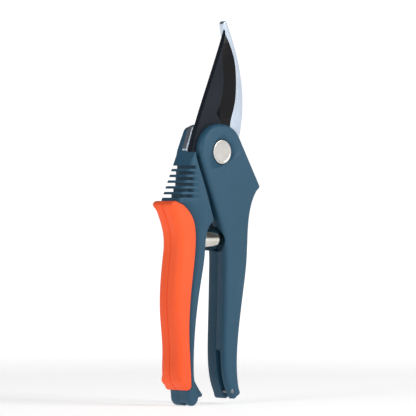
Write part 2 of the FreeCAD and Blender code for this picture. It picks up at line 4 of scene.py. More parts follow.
import bmesh
import bpy
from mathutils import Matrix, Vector
from mathutils.geometry import delaunay_2d_cdt
from mathutils.kdtree import KDTree

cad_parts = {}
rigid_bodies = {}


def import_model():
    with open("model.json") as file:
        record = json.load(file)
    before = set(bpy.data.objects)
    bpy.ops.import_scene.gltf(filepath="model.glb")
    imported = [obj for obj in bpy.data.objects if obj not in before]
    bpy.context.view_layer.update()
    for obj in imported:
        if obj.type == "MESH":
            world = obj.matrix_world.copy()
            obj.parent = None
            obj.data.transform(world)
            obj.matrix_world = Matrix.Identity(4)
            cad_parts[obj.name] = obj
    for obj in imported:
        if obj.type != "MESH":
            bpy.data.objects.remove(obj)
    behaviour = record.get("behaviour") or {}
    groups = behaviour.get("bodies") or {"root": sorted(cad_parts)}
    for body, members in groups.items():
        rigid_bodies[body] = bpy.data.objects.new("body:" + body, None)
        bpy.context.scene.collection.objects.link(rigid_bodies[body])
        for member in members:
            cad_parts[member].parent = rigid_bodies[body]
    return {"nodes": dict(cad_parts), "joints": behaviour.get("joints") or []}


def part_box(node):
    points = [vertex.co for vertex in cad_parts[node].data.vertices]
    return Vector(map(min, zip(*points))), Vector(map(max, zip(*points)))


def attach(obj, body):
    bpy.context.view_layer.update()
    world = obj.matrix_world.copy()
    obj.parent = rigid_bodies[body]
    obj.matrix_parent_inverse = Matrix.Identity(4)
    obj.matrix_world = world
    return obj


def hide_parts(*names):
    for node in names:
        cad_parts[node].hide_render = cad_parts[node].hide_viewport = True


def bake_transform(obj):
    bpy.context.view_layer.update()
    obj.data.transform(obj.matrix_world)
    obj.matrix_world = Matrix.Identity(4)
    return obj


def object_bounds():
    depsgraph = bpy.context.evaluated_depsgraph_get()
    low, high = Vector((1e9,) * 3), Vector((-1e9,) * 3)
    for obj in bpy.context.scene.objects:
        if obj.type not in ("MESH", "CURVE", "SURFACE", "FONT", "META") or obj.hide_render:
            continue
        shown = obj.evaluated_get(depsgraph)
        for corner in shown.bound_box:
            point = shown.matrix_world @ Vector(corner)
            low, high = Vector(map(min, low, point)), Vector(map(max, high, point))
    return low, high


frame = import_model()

CAD_BOX = [list(corner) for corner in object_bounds()]
MM = 0.001
PIVOT = Vector(next(j["pos_m"] for j in frame["joints"] if j["name"] == "main_pivot"))
FRONT_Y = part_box("right_front_shell")[0].y
REAR_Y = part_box("right_rear_shell")[1].y
HALF_THICKNESS = (REAR_Y - FRONT_Y) / 2
LEFT, RIGHT, CATCH = "hook_lever", "blade_lever", "catch"
SMOOTH_ANGLE = 32.0            # degrees, past which an edge is shaded hard
CORNER = math.radians(24)      # turns past this are corners of the design
FLAT_TURN = math.radians(0.1)  # faces within this are one flat face
MERGE = 2e-6                   # metres, within which points are one point
ON_LINE = 0.05 * MM


# ---------------------------------------------------------------- materials


class Finish:
    """A material's node tree, built up from object-space patterns."""

    def __init__(self, name, **sockets):
        self.material = bpy.data.materials.new(name)
        self.material.use_nodes = True
        self.tree = self.material.node_tree
        self.shader = self.tree.nodes["Principled BSDF"]
        self.place = self.node("ShaderNodeTexCoord").outputs["Object"]
        self.height = None
        for socket, value in sockets.items():
            self.shader.inputs[socket.replace("_", " ")].default_value = value

    def node(self, kind, **values):
        made = self.tree.nodes.new(kind)
        for key, value in values.items():
            setattr(made, key, value)
        return made

    def link(self, source, target):
        self.tree.links.new(source, target)

    def stretch(self, scale, turn=(0, 0, 0)):
        """Object coordinates, scaled and turned, for grain that runs one way."""
        mapping = self.node("ShaderNodeMapping")
        mapping.inputs["Scale"].default_value = scale
        mapping.inputs["Rotation"].default_value = turn
        self.link(self.place, mapping.inputs["Vector"])
        return mapping.outputs["Vector"]

    def noise(self, scale, detail, rough=0.5, place=None):
        made = self.node("ShaderNodeTexNoise")
        made.inputs["Scale"].default_value = scale
        made.inputs["Detail"].default_value = detail
        made.inputs["Roughness"].default_value = rough
        self.link(place or self.place, made.inputs["Vector"])
        return made.outputs["Fac"]

    def cells(self, scale):
        made = self.node("ShaderNodeTexVoronoi")
        made.inputs["Scale"].default_value = scale
        self.link(self.place, made.inputs["Vector"])
        return made.outputs["Distance"]

    def spread(self, factor, low, high, at=0.3, to=0.7):
        """The pattern's middle values, spread from low to high."""
        made = self.node("ShaderNodeMapRange")
        made.inputs["From Min"].default_value = at
        made.inputs["From Max"].default_value = to
        made.inputs["To Min"].default_value = low
        made.inputs["To Max"].default_value = high
        self.link(factor, made.inputs["Value"])
        return made.outputs["Result"]

    def blend(self, factor, first, second):
        """Mixes two colours, or two patterns, by the factor."""
        made = self.node("ShaderNodeMix", data_type="RGBA")
        self.link(factor, made.inputs["Factor"])
        for socket, value in ((made.inputs[6], first), (made.inputs[7], second)):
            if isinstance(value, tuple):
                socket.default_value = (*value, 1)
            else:
                self.link(value, socket)
        return made.outputs[2]

    def colour(self, source):
        self.link(source, self.shader.inputs["Base Color"])

    def rough(self, source):
        self.link(source, self.shader.inputs["Roughness"])

    def bump(self, source, depth, strength):
        """Adds a layer of relief, depth in metres."""
        made = self.node("ShaderNodeBump")
        made.inputs["Distance"].default_value = depth
        made.inputs["Strength"].default_value = strength
        self.link(source, made.inputs["Height"])
        if self.height:
            self.link(self.height, made.inputs["Normal"])
        self.height = made.outputs["Normal"]
        self.link(self.height, self.shader.inputs["Normal"])


def moulded_nylon(name, pale, deep):
    """Glass-filled nylon with a fine spark-eroded grain and faint flow marks."""
    finish = Finish(name, Specular_IOR_Level=0.26)
    flow = finish.noise(45, 4, 0.55, finish.stretch((1, 1, 0.35)))
    grain = finish.noise(2600, 2)
    finish.colour(finish.blend(finish.spread(flow, 0, 1), deep, pale))
    handled = finish.noise(160, 5, 0.6)
    finish.rough(finish.spread(handled, 0.40, 0.54))
    finish.bump(grain, 0.00006, 0.55)
    finish.bump(finish.noise(420, 3), 0.00010, 0.25)
    return finish.material


def soft_rubber(name, pale, deep):
    """Matt thermoplastic rubber with a velvety skin, a little rubbed in the palm."""
    finish = Finish(name, Specular_IOR_Level=0.28, Sheen_Weight=0.06, Sheen_Roughness=0.5)
    cloud = finish.noise(38, 4, 0.55, finish.stretch((1, 1, 0.4)))
    finish.colour(finish.blend(finish.spread(cloud, 0, 1), deep, pale))
    finish.rough(finish.spread(finish.noise(120, 5, 0.6), 0.48, 0.64))
    finish.bump(finish.cells(1500), 0.00007, 0.35)
    finish.bump(finish.noise(300, 3), 0.00012, 0.3)
    return finish.material


GRINDING_TURN = math.radians(22)   # the marks on the blade lean this far from level


def coated_steel(name, pale, deep, gloss, low, high):
    """Black non-stick coating: a fine orange peel over lengthwise grinding marks."""
    finish = Finish(name, Specular_IOR_Level=gloss)
    lay = finish.stretch((90, 90, 2600), (0, GRINDING_TURN, 0))
    marks = finish.noise(1.0, 3, 0.6, lay)
    finish.colour(finish.blend(finish.spread(finish.noise(75, 4), 0, 1), deep, pale))
    finish.rough(finish.spread(finish.noise(260, 4, 0.6), low, high))
    finish.bump(finish.noise(1900, 2), 0.00004, 0.5)
    finish.bump(marks, 0.00003, 0.4)
    return finish.material


def ground_steel(name, pale, deep, low, high, scale=(2400, 2400, 60)):
    """Bare steel with fine grinding lines one way and faint smears."""
    finish = Finish(name, Metallic=1.0, Anisotropic=0.35)
    lines = finish.noise(1.0, 4, 0.65, finish.stretch(scale))
    smear = finish.noise(95, 4, 0.6)
    finish.colour(finish.blend(finish.spread(smear, 0, 1), deep, pale))
    finish.rough(finish.spread(finish.blend(finish.spread(smear, 0.2, 0.6), lines, smear), low, high))
    finish.bump(lines, 0.00002, 0.45)
    return finish.material


FLOOR_GLOW = (0.58, 1.0)     # near the shears and far from them
FLOOR_REACH = (0.35, 1.1)    # metres from the middle


def studio_white():
    """A white floor that glows more further out, so that it meets the white round it."""
    finish = Finish("studio_white", Roughness=0.6)
    tone = finish.noise(2.0, 2)
    finish.colour(finish.blend(finish.spread(tone, 0, 1), (0.80, 0.80, 0.80), (0.83, 0.83, 0.83)))
    finish.shader.inputs["Emission Color"].default_value = (1, 1, 1, 1)
    far = finish.node("ShaderNodeVectorMath", operation="LENGTH")
    finish.link(finish.place, far.inputs[0])
    glow = finish.spread(far.outputs["Value"], *FLOOR_GLOW, *FLOOR_REACH)
    finish.link(glow, finish.shader.inputs["Emission Strength"])
    return finish.material


NYLON = moulded_nylon("handle_nylon", (0.0245, 0.083, 0.137), (0.0195, 0.070, 0.118))
CATCH_NYLON = moulded_nylon("catch_nylon", (0.021, 0.072, 0.120), (0.017, 0.061, 0.104))
RUBBER = soft_rubber("grip_rubber", (0.93, 0.108, 0.022), (0.86, 0.088, 0.017))
COATING = coated_steel("coated_blade", (0.0125, 0.0155, 0.0245), (0.0085, 0.011, 0.018),
                       0.13, 0.32, 0.46)
# The bevel gets a darker copy of the coating: its darker colour is painted shade, standing in for the
# darker look that the bevel's tilt gives it.
BEVEL_PAINTED_SHADE = coated_steel("coated_bevel_painted_shade", (0.0045, 0.0042, 0.0055), (0.003, 0.003, 0.004),
                              0.05, 0.16, 0.28)
HOOK_STEEL = ground_steel("hook_steel", (0.54, 0.61, 0.70), (0.47, 0.54, 0.635), 0.22, 0.36)
SPRING_STEEL = ground_steel("spring_steel", (0.66, 0.64, 0.59), (0.50, 0.48, 0.43), 0.05, 0.13,
                            (60, 2400, 2400))
NICKEL = ground_steel("bolt_nickel", (0.56, 0.54, 0.51), (0.49, 0.475, 0.45), 0.26, 0.38,
                      (1500, 40, 1500))
ZINC = ground_steel("fastener_steel", (0.60, 0.61, 0.62), (0.47, 0.48, 0.50), 0.24, 0.40,
                    (1800, 60, 1800))
DARK_ZINC = ground_steel("darkened_pin_steel", (0.20, 0.22, 0.24), (0.13, 0.15, 0.165), 0.3, 0.45,
                         (1800, 60, 1800))
BUSHING_STEEL = ground_steel("bushing_steel", (0.52, 0.50, 0.47), (0.42, 0.40, 0.38), 0.2, 0.35,
                             (60, 2400, 60))


# ---------------------------------------------------------------- mesh helpers


def link_mesh(name, bm, materials, smooth_angle=SMOOTH_ANGLE):
    """A finished object from a bmesh: outward normals, smooth but for its hard edges."""
    bmesh.ops.recalc_face_normals(bm, faces=bm.faces)
    mesh = bpy.data.meshes.new(name)
    bm.to_mesh(mesh)
    bm.free()
    for material in materials:
        mesh.materials.append(material)
    mesh.polygons.foreach_set("use_smooth", [True] * len(mesh.polygons))
    mesh.set_sharp_from_angle(angle=math.radians(smooth_angle))
    made = bpy.data.objects.new(name, mesh)
    bpy.context.scene.collection.objects.link(made)
    return made


def baked(made, smooth_angle=SMOOTH_ANGLE):
    """Turns an object's modifiers into plain mesh and removes them."""
    graph = bpy.context.evaluated_depsgraph_get()
    mesh = bpy.data.meshes.new_from_object(made.evaluated_get(graph))
    made.modifiers.clear()
    old = made.data
    made.data = mesh
    bpy.data.meshes.remove(old)
    mesh.polygons.foreach_set("use_smooth", [True] * len(mesh.polygons))
    mesh.set_sharp_from_angle(angle=math.radians(smooth_angle))
    return made


def merged_copy(node):
    """The CAD node's mesh, its loose triangles joined and flat faces made whole."""
    bm = bmesh.new()
    bm.from_mesh(frame["nodes"][node].data)
    bmesh.ops.remove_doubles(bm, verts=bm.verts, dist=MERGE)
    bmesh.ops.dissolve_limit(bm, angle_limit=FLAT_TURN, verts=bm.verts, edges=bm.edges)
    return bm


def closed_pairs(points):
    """Each item of a closed line with the next."""
    return zip(points, points[1:] + points[:1])


def perimeter(points):
    return sum((b - a).length for a, b in closed_pairs(points))


def plane_loops(node, y, slack=2e-5):
    """Outlines, as (x, z) vectors, of the CAD node's flat faces at y, the longest first."""
    bm = merged_copy(node)
    bm.verts.ensure_lookup_table()
    flat = dict.fromkeys(f for f in bm.faces if all(abs(v.co.y - y) < slack for v in f.verts))
    ahead = {}
    for face in flat:
        for corner in face.loops:
            if sum(f in flat for f in corner.edge.link_faces) == 1:
                ahead[corner.vert.index] = corner.link_loop_next.vert.index
    loops = []
    while ahead:
        here = next(iter(ahead))
        points = []
        while here in ahead:
            place = bm.verts[here].co
            points.append(Vector((place.x, place.z)))
            here = ahead.pop(here)
        loops.append(points)
    bm.free()
    return sorted(loops, key=perimeter, reverse=True)


def to_segment(point, a, b):
    """Distance from point to the segment a-b."""
    along = b - a
    share = max(0.0, min(1.0, (point - a).dot(along) / max(along.length_squared, 1e-18)))
    return (point - a - along * share).length


def near_line(point, points, slack):
    """Whether the point lies on the closed line, within slack."""
    return any(to_segment(point, a, b) < slack for a, b in closed_pairs(points))


def resampled(points, spacing):
    """A closed outline walked in even steps."""
    total = perimeter(points)
    count = round(total / spacing)
    result = []
    walked = 0.0
    for a, b in closed_pairs(points):
        length = (b - a).length
        while len(result) < count and total * len(result) / count <= walked + length:
            share = (total * len(result) / count - walked) / max(length, 1e-12)
            result.append(a.lerp(b, share))
        walked += length
    return result


def curved(points, spacing):
    """A smooth line through a closed outline's points, kept sharp at its corners."""
    count = len(points)
    steps = [points[(i + 1) % count] - points[i] for i in range(count)]
    leaving, arriving = [], []
    for i in range(count):
        sharp = steps[i - 1].angle(steps[i], 0) > CORNER
        mean = (steps[i - 1] + steps[i]).normalized()
        arriving.append(steps[i - 1].normalized() if sharp else mean)
        leaving.append(steps[i].normalized() if sharp else mean)
    result = []
    for i, step in enumerate(steps):
        length = step.length
        first, last = leaving[i] * length, arriving[(i + 1) % count] * length
        pieces = max(1, round(length / spacing))
        for j in range(pieces):
            t = j / pieces
            result.append(points[i] * (2 * t ** 3 - 3 * t ** 2 + 1) + first * (t ** 3 - 2 * t ** 2 + t)
                          + points[(i + 1) % count] * (3 * t ** 2 - 2 * t ** 3)
                          + last * (t ** 3 - t ** 2))
    return result


def signed_area(points):
    """Area inside the outline, above zero when it runs anticlockwise."""
    return sum(a.x * b.y - b.x * a.y for a, b in closed_pairs(points)) / 2


def anticlockwise(points):
    return points if signed_area(points) > 0 else points[::-1]


def triangulated(points, edges, outline):
    """Triangles inside the outline (indices into points), keeping the edges."""
    made = delaunay_2d_cdt(points, edges, [outline], 1, 1e-9)
    return made[0], made[2]


def eased_copy(node, name, material, ease, segments):
    """The CAD node with its edges rounded: ease(edge's middle, edge) gives each edge's radius."""
    bm = merged_copy(node)
    weight = bm.edges.layers.float.new("bevel_weight_edge")
    radii = {}
    for edge in bm.edges:
        if len(edge.link_faces) == 2 and edge.calc_face_angle(0) > CORNER:
            radii[edge] = ease((edge.verts[0].co + edge.verts[1].co) / 2, edge)
    widest = max(radii.values())
    for edge, radius in radii.items():
        edge[weight] = radius / widest
    made = link_mesh(name, bm, [material])
    bevel = made.modifiers.new("eased_edges", "BEVEL")
    bevel.limit_method = "WEIGHT"
    bevel.width = widest
    bevel.segments = segments
    bevel.use_clamp_overlap = False
    bevel.miter_outer = "MITER_ARC"
    flat = made.modifiers.new("flat_faces", "WEIGHTED_NORMAL")
    flat.keep_sharp = True
    return baked(made)


def placed(made, body, node):
    """Puts a finished piece on its body, in the CAD node's place."""
    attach(made, body)
    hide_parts(node)


def pivot_xz(point):
    """A place's X and Z in millimetres from the pivot."""
    return (point.x - PIVOT.x) / MM, (point.z - PIVOT.z) / MM


# ---------------------------------------------------------------- handle shells

SKIN = 0.015 * MM              # how far a plate stays inside the CAD node's walls
SEAM_ROUND = 0.12 * MM
GRIP_BED_DEPTH = 1.8 * MM      # from the handle's face down to what the grip lies on
OUTLINE_STEP = 0.4 * MM
PLATE_STEP = 0.45 * MM
PLATE_SOFTENING = 4
WIDEST_ROUND = 3.2 * MM
RADIUS_BLENDING = 8
FACE_STEPS = 6
SEAM_STEPS = 2
FLAT_FACE = 0.999              # a face is flat when its normal's Y is past this
SECTION_DEPTH = 0.1 * MM       # the outlines are taken this far under the outer faces
RIB_SIDE = [(-14.1, 11.7), (-30.8, -25.7)]   # ends of the handle's outer side, from the pivot
RIB_TOP = -6.5
FILLER_HEAD = 4.8
FILLER_FOOT = 9.0


def section_loops(node, y):
    """Outlines of the CAD node cut across at y, as (x, z) vectors."""
    bm = merged_copy(node)
    cut = bmesh.ops.bisect_plane(bm, geom=bm.verts[:] + bm.edges[:] + bm.faces[:], dist=1e-7,
                                 plane_co=(0, y, 0), plane_no=(0, 1, 0), clear_inner=True,
                                 clear_outer=True)
    edges = [e for e in cut["geom_cut"] if isinstance(e, bmesh.types.BMEdge)]
    beside = {}
    for edge in edges:
        a, b = edge.verts
        beside.setdefault(a, []).append(b)
        beside.setdefault(b, []).append(a)
    loops = []
    while beside:
        here = next(iter(beside))
        points = []
        while here is not None and here in beside:
            points.append(Vector((here.co.x, here.co.z)))
            onward = [v for v in beside.pop(here) if v in beside]
            here = onward[0] if onward else None
        if len(points) > 2:
            loops.append(points)
    bm.free()
    return loops


def joined_outline(loops):
    """The outer outline of overlapping shapes laid on each other."""
    points, faces = [], []
    for loop in loops:
        faces.append(list(range(len(points), len(points) + len(loop))))
        points += anticlockwise(loop)
    made = delaunay_2d_cdt(points, [], faces, 1, 1e-7)
    places, triangles = made[0], made[2]
    sides = dict.fromkeys(side for triangle in triangles for side in closed_pairs(triangle))
    rim = {i: j for i, j in sides if (j, i) not in sides}
    outlines = []
    while rim:
        here = next(iter(rim))
        outline = []
        while here in rim:
            outline.append(places[here].copy())
            here = rim.pop(here)
        outlines.append(outline)
    return anticlockwise(max(outlines, key=lambda loop: abs(signed_area(loop))))


def rib_filler():
    """Lies over the rib slots, out to the handle's straight outer side."""
    (x0, z0), (x1, z1) = RIB_SIDE
    top_x = x0 + (x1 - x0) * (RIB_TOP - z0) / (z1 - z0)
    corners = [(top_x, RIB_TOP), (x1, z1), (x1 + FILLER_FOOT, z1), (top_x + FILLER_HEAD, RIB_TOP)]
    return [Vector((PIVOT.x + x * MM, PIVOT.z + z * MM)) for x, z in corners]


LEAST_ROOM = 0.02 * MM
ROOM_STEP = 0.85        # each try goes this much less deep
ROOM_CLEAR = 0.985      # the point's own place counts as nearest past this share of the depth
ROOM_KEPT = 0.8


def room_inside(points, normals, most):
    """How far each point can move in along its normal before another part of the outline is nearer."""
    tree = KDTree(len(points))
    for i, point in enumerate(points):
        tree.insert((point.x, point.y, 0), i)
    tree.balance()
    room = []
    for point, normal in zip(points, normals):
        depth = most
        while depth > LEAST_ROOM:
            probe = point + normal * depth
            if tree.find((probe.x, probe.y, 0))[2] > ROOM_CLEAR * depth:
                break
            depth *= ROOM_STEP
        room.append(ROOM_KEPT * depth)
    return [min(room[i - 2], room[i - 1], r, room[(i + 1) % len(room)], room[(i + 2) % len(room)])
            for i, r in enumerate(room)]


def softened(points, rounds):
    """Rounds off the corners of a resampled outline a little with each round."""
    for _ in range(rounds):
        points = [(points[i - 1] + 2 * p + points[(i + 1) % len(points)]) / 4
                  for i, p in enumerate(points)]
    return points


def envelope(name, outline, face_y, seam_y, radius_at, material, seam_round=SEAM_ROUND, skin=SKIN):
    """A plate with the outline's walls, its outer face's edge rounded and its seam eased."""
    out = 1 if face_y > seam_y else -1
    points = softened(resampled(curved(outline, OUTLINE_STEP), PLATE_STEP), PLATE_SOFTENING)
    normals = inward(points)
    most = room_inside(points, normals, WIDEST_ROUND)
    radii = [min(radius_at(*pivot_xz(Vector((p.x, 0, p.y)))), limit) for p, limit in zip(points, most)]
    for _ in range(RADIUS_BLENDING):
        radii = [min(limit, (radii[i - 1] + 2 * r + radii[(i + 1) % len(radii)]) / 4)
                 for i, (r, limit) in enumerate(zip(radii, most))]
    seams = [min(seam_round, limit) for limit in most]
    thick = abs(face_y - seam_y)
    bm = bmesh.new()
    rings = []
    for step in range(SEAM_STEPS + 1):
        turn = math.pi / 2 * step / SEAM_STEPS
        rings.append(ring_of(bm, points, normals, [skin + r * (1 - math.sin(turn)) for r in seams],
                             [skin + r * (1 - math.cos(turn)) for r in seams], 1))
    for step in range(FACE_STEPS + 1):
        turn = math.pi / 2 * step / FACE_STEPS
        rings.append(ring_of(bm, points, normals, [skin + r * (1 - math.cos(turn)) for r in radii],
                             [thick - skin - r * (1 - math.sin(turn)) for r in radii], 1))
    for ring in rings:
        for vert in ring:
            vert.co.y = seam_y + out * vert.co.y
    for first, second in zip(rings, rings[1:]):
        bridge(bm, first, second)
    cap(bm, rings[0])
    cap(bm, rings[-1])
    return link_mesh(name, bm, [material])


def cap(bm, ring):
    """Closes a ring with flat triangles."""
    flat = [Vector((v.co.x, v.co.z)) for v in ring]
    places, triangles = triangulated(flat, [], list(range(len(flat))))
    if len(places) > len(flat):
        raise RuntimeError("an outline crosses itself near %s" % places[-1])
    for triangle in triangles:
        bm.faces.new([ring[i] for i in triangle])


def trimmed(plate, node):
    """Keeps what the plate and the CAD node have in common, its flat faces shaded flat."""
    solid = link_mesh(node + "_solid", merged_copy(node), plate.data.materials[:])
    common = plate.modifiers.new("pockets", "BOOLEAN")
    common.object = solid
    common.operation = "INTERSECT"
    common.solver = "MANIFOLD"
    baked(plate)
    bpy.data.objects.remove(solid)
    bm = bmesh.new()
    bm.from_mesh(plate.data)
    bmesh.ops.remove_doubles(bm, verts=bm.verts, dist=MERGE)
    bm.to_mesh(plate.data)
    bm.free()
    mesh = plate.data
    mesh.polygons.foreach_set("use_smooth", [abs(face.normal.y) < FLAT_FACE for face in mesh.polygons])
    mesh.set_sharp_from_angle(angle=math.radians(SMOOTH_ANGLE))
    return plate


SHOULDER_FOOT_Z = -20.0        # these places and radii are in millimetres from the pivot
SHOULDER_ROUND = 0.8
LOBE_FOOT_Z = 3.0
LOBE_FADE = 9.0
LOBE_EXTRA = 2.1
GAP_SIDE_ROUND = 2.9
RIGHT_OUTER_X = 11.0
RIGHT_OUTER_ROUND = 1.6
RIGHT_INNER_ROUND = 2.2
GRIP_TOP_Z = -38.0
RIB_SIDE_X = -19.4
RIB_SIDE_ROUND = 1.7
LEFT_FACE_ROUND = 0.8
LEFT_LOW_ROUND = 1.8


def right_radius(x, z):
    """Edge radius of the plain handle's outer faces: widest on the round lobe and the gap's side."""
    if z > SHOULDER_FOOT_Z and x > 0:
        lobe = max(0.0, min(1.0, (LOBE_FADE - x) / LOBE_FADE)) * (z > LOBE_FOOT_Z)
        return (SHOULDER_ROUND + LOBE_EXTRA * lobe) * MM
    if z > SHOULDER_FOOT_Z:
        return GAP_SIDE_ROUND * MM
    return (RIGHT_OUTER_ROUND if x > RIGHT_OUTER_X else RIGHT_INNER_ROUND) * MM


def left_radius(x, z):
    """Edge radius of the gripped handle's outer faces."""
    if z > GRIP_TOP_Z:
        return (RIB_SIDE_ROUND if x < RIB_SIDE_X else LEFT_FACE_ROUND) * MM
    return LEFT_LOW_ROUND * MM


def shell_outline(node, face_y):
    """Outline of a shell's outer face, with the grip's bed and the rib slots filled in."""
    inwards = 1 if face_y == FRONT_Y else -1
    loops = section_loops(node, face_y + inwards * SECTION_DEPTH)
    if node.startswith("left"):
        loops += plane_loops(node, face_y + inwards * GRIP_BED_DEPTH)[:1] + [rib_filler()]
    return joined_outline(loops)


def make_shells():
    """The four handle shells, with the CAD nodes' pockets and rounder edges."""
    parting = {LEFT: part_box("left_front_shell")[1].y, RIGHT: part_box("right_front_shell")[1].y}
    for node in ("left_front_shell", "left_rear_shell", "right_front_shell", "right_rear_shell"):
        body, radius = (LEFT, left_radius) if node.startswith("left") else (RIGHT, right_radius)
        face_y = FRONT_Y if "front" in node else REAR_Y
        plate = envelope(node + "_moulding", shell_outline(node, face_y), face_y, parting[body], radius,
                         NYLON)
        placed(trimmed(plate, node), body, node)


# ---------------------------------------------------------------- soft grip

GRIP_ROUND = 4.3 * MM
GRIP_LIP_ROUND = 1.0 * MM
GRIP_CREASE = 1.0 * MM
GRIP_CROWN = 0.3 * MM
GRIP_STEP = 0.55 * MM
GRIP_SOFTENING = 7
GRIP_BLENDING = 14
GRIP_SMOOTH_ANGLE = 50
TURN_SHARE = 0.8               # an edge's radius is at most this much of the outline's turn
ROUND_STEPS = 7
CROWN_STEP = 1.1 * MM
CROWN_CLEAR = 0.6 * MM
CROWN_REACH = 4.5 * MM         # the crown reaches its full height this far in from the edge
CORE_OVERLAP = 4 * MM


def turn_radius(points, i, reach):
    """Radius of the outline's outward turn about point i."""
    count = len(points)
    a, b, c = points[i - reach], points[i], points[(i + reach) % count]
    first, second = b - a, c - b
    turn = math.atan2(first.x * second.y - first.y * second.x, first.dot(second))
    return (first.length + second.length) / 2 / turn if turn > 1e-4 else 1.0


def grip_radii(points, wall_loop):
    """Edge radius at each point: wide on the outer side, tight over the handle's face."""
    count = len(points)
    wanted = []
    for i, point in enumerate(points):
        wide = GRIP_ROUND if near_line(point, wall_loop, ON_LINE) else GRIP_LIP_ROUND
        tightest = min(turn_radius(points, i, reach) for reach in (2, 4))
        wanted.append(min(wide, TURN_SHARE * tightest))
    for _ in range(GRIP_BLENDING):
        wanted = [(wanted[i - 1] + 2 * w + wanted[(i + 1) % count]) / 4 for i, w in enumerate(wanted)]
    return wanted


def inward(points):
    """Unit normals into an anticlockwise outline."""
    normals = []
    count = len(points)
    for i in range(count):
        along = (points[(i + 1) % count] - points[i - 1]).normalized()
        normals.append(Vector((-along.y, along.x)))
    return normals


def ring_of(bm, points, normals, insets, heights, side):
    """A ring of points, each moved in by its inset and out by its height."""
    return [bm.verts.new((p.x + n.x * d, side * y, p.y + n.y * d))
            for p, n, d, y in zip(points, normals, insets, heights)]


def bridge(bm, first, second):
    """Walls between two rings."""
    count = len(first)
    for i in range(count):
        j = (i + 1) % count
        bm.faces.new((first[i], first[j], second[j], second[i]))


def make_grip_half(node, side):
    """Half of the soft grip: a crowned face, a wide round outer edge and a crease at the parting."""
    low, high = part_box(node)
    thick = max(abs(low.y), abs(high.y))
    bed = HALF_THICKNESS - GRIP_BED_DEPTH
    wall_loop = plane_loops(node, 0.0)[0]
    bed_loop = plane_loops(node, side * bed)[0]
    face = anticlockwise(plane_loops(node, side * thick)[0])
    points = softened(resampled(curved(face, OUTLINE_STEP), GRIP_STEP), GRIP_SOFTENING)
    normals = inward(points)
    radii = grip_radii(points, wall_loop)
    bm = bmesh.new()
    rings = []
    for step in range(ROUND_STEPS + 1):
        turn = math.pi / 2 * step / ROUND_STEPS
        rings.append(ring_of(bm, points, normals, [GRIP_CREASE * (1 - math.sin(turn))] * len(points),
                             [GRIP_CREASE * (1 - math.cos(turn))] * len(points), side))
    for step in range(ROUND_STEPS + 1):
        turn = math.pi / 2 * step / ROUND_STEPS
        rings.append(ring_of(bm, points, normals, [r * (1 - math.cos(turn)) for r in radii],
                             [thick - GRIP_CROWN - r * (1 - math.sin(turn)) for r in radii], side))
    for first, second in zip(rings, rings[1:]):
        bridge(bm, first, second)
    bm.faces.new(rings[0])
    crown_face(bm, rings[-1], side, thick)
    body = link_mesh(node + "_rubber", bm, [RUBBER], GRIP_SMOOTH_ANGLE)
    core = core_block(node, bed_loop, points, side * bed, side)
    hollow = body.modifiers.new("core", "BOOLEAN")
    hollow.object = core
    hollow.operation = "DIFFERENCE"
    hollow.solver = "MANIFOLD"
    baked(body, GRIP_SMOOTH_ANGLE)
    bpy.data.objects.remove(core)
    placed(body, LEFT, node)


def crown_face(bm, ring, side, thick):
    """Fills the ring with a gently crowned sheet."""
    edge = [Vector((v.co.x, v.co.z)) for v in ring]
    tree = KDTree(len(edge))
    for i, point in enumerate(edge):
        tree.insert((point.x, point.y, 0), i)
    tree.balance()
    xs, zs = [p.x for p in edge], [p.y for p in edge]
    inner = []
    for i in range(int((max(xs) - min(xs)) / CROWN_STEP) + 1):
        for j in range(int((max(zs) - min(zs)) / CROWN_STEP) + 1):
            inner.append(Vector((min(xs) + i * CROWN_STEP, min(zs) + (j + 0.5 * (i % 2)) * CROWN_STEP)))
    inner = [p for p in inner if tree.find((p.x, p.y, 0))[2] > CROWN_CLEAR]
    places, triangles = triangulated(edge + inner, [], list(range(len(edge))))
    verts = list(ring)
    for place in places[len(ring):]:
        away = min(1.0, tree.find((place.x, place.y, 0))[2] / CROWN_REACH)
        rise = GRIP_CROWN * (1 - (1 - away) ** 2)
        verts.append(bm.verts.new((place.x, side * (thick - GRIP_CROWN + rise), place.y)))
    for triangle in triangles:
        bm.faces.new([verts[i] for i in triangle])
    for vert in verts[len(ring):]:
        if not vert.link_faces:
            bm.verts.remove(vert)


def core_block(name, bed_loop, outline, bed_y, side):
    """The handle's core, as the block that hollows the grip."""
    bm = bmesh.new()
    points = [p + Vector((CORE_OVERLAP, 0)) if near_line(p, outline, ON_LINE) else p for p in bed_loop]
    near = [bm.verts.new((p.x, bed_y, p.y)) for p in points]
    far = [bm.verts.new((p.x, -side * 2 * MM, p.y)) for p in points]
    bridge(bm, near, far)
    bm.faces.new(near)
    bm.faces.new(far)
    return link_mesh(name + "_core", bm, [RUBBER])


# ---------------------------------------------------------------- cutting blade and hook

EDGE_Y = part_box("cutting_blade")[1].y
BLADE_FACE_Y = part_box("cutting_blade")[0].y
GRIND_LINE = [(4.4, 57.0), (4.0, 53.2), (4.2, 48.5), (4.7, 43.0), (5.0, 38.8), (4.7, 34.6),
              (4.2, 30.8), (3.2, 27.0), (1.7, 23.8), (-0.2, 20.5), (2.8, 16.7), (6.0, 10.0), (13.6, 5.5)]
BLADE_STEP = 0.5 * MM
TIP_THICKNESS = 1.0 * MM
TIP_FALL = 4                   # power of the spine's fall towards the tip's thickness
SPINE_CHAMFER = 0.45 * MM
SPINE_LEAN = 0.26              # the spine lies left of x = lean * z - offset, in pivot millimetres
SPINE_OFFSET = 7
BLADE_SMOOTH_ANGLE = 12


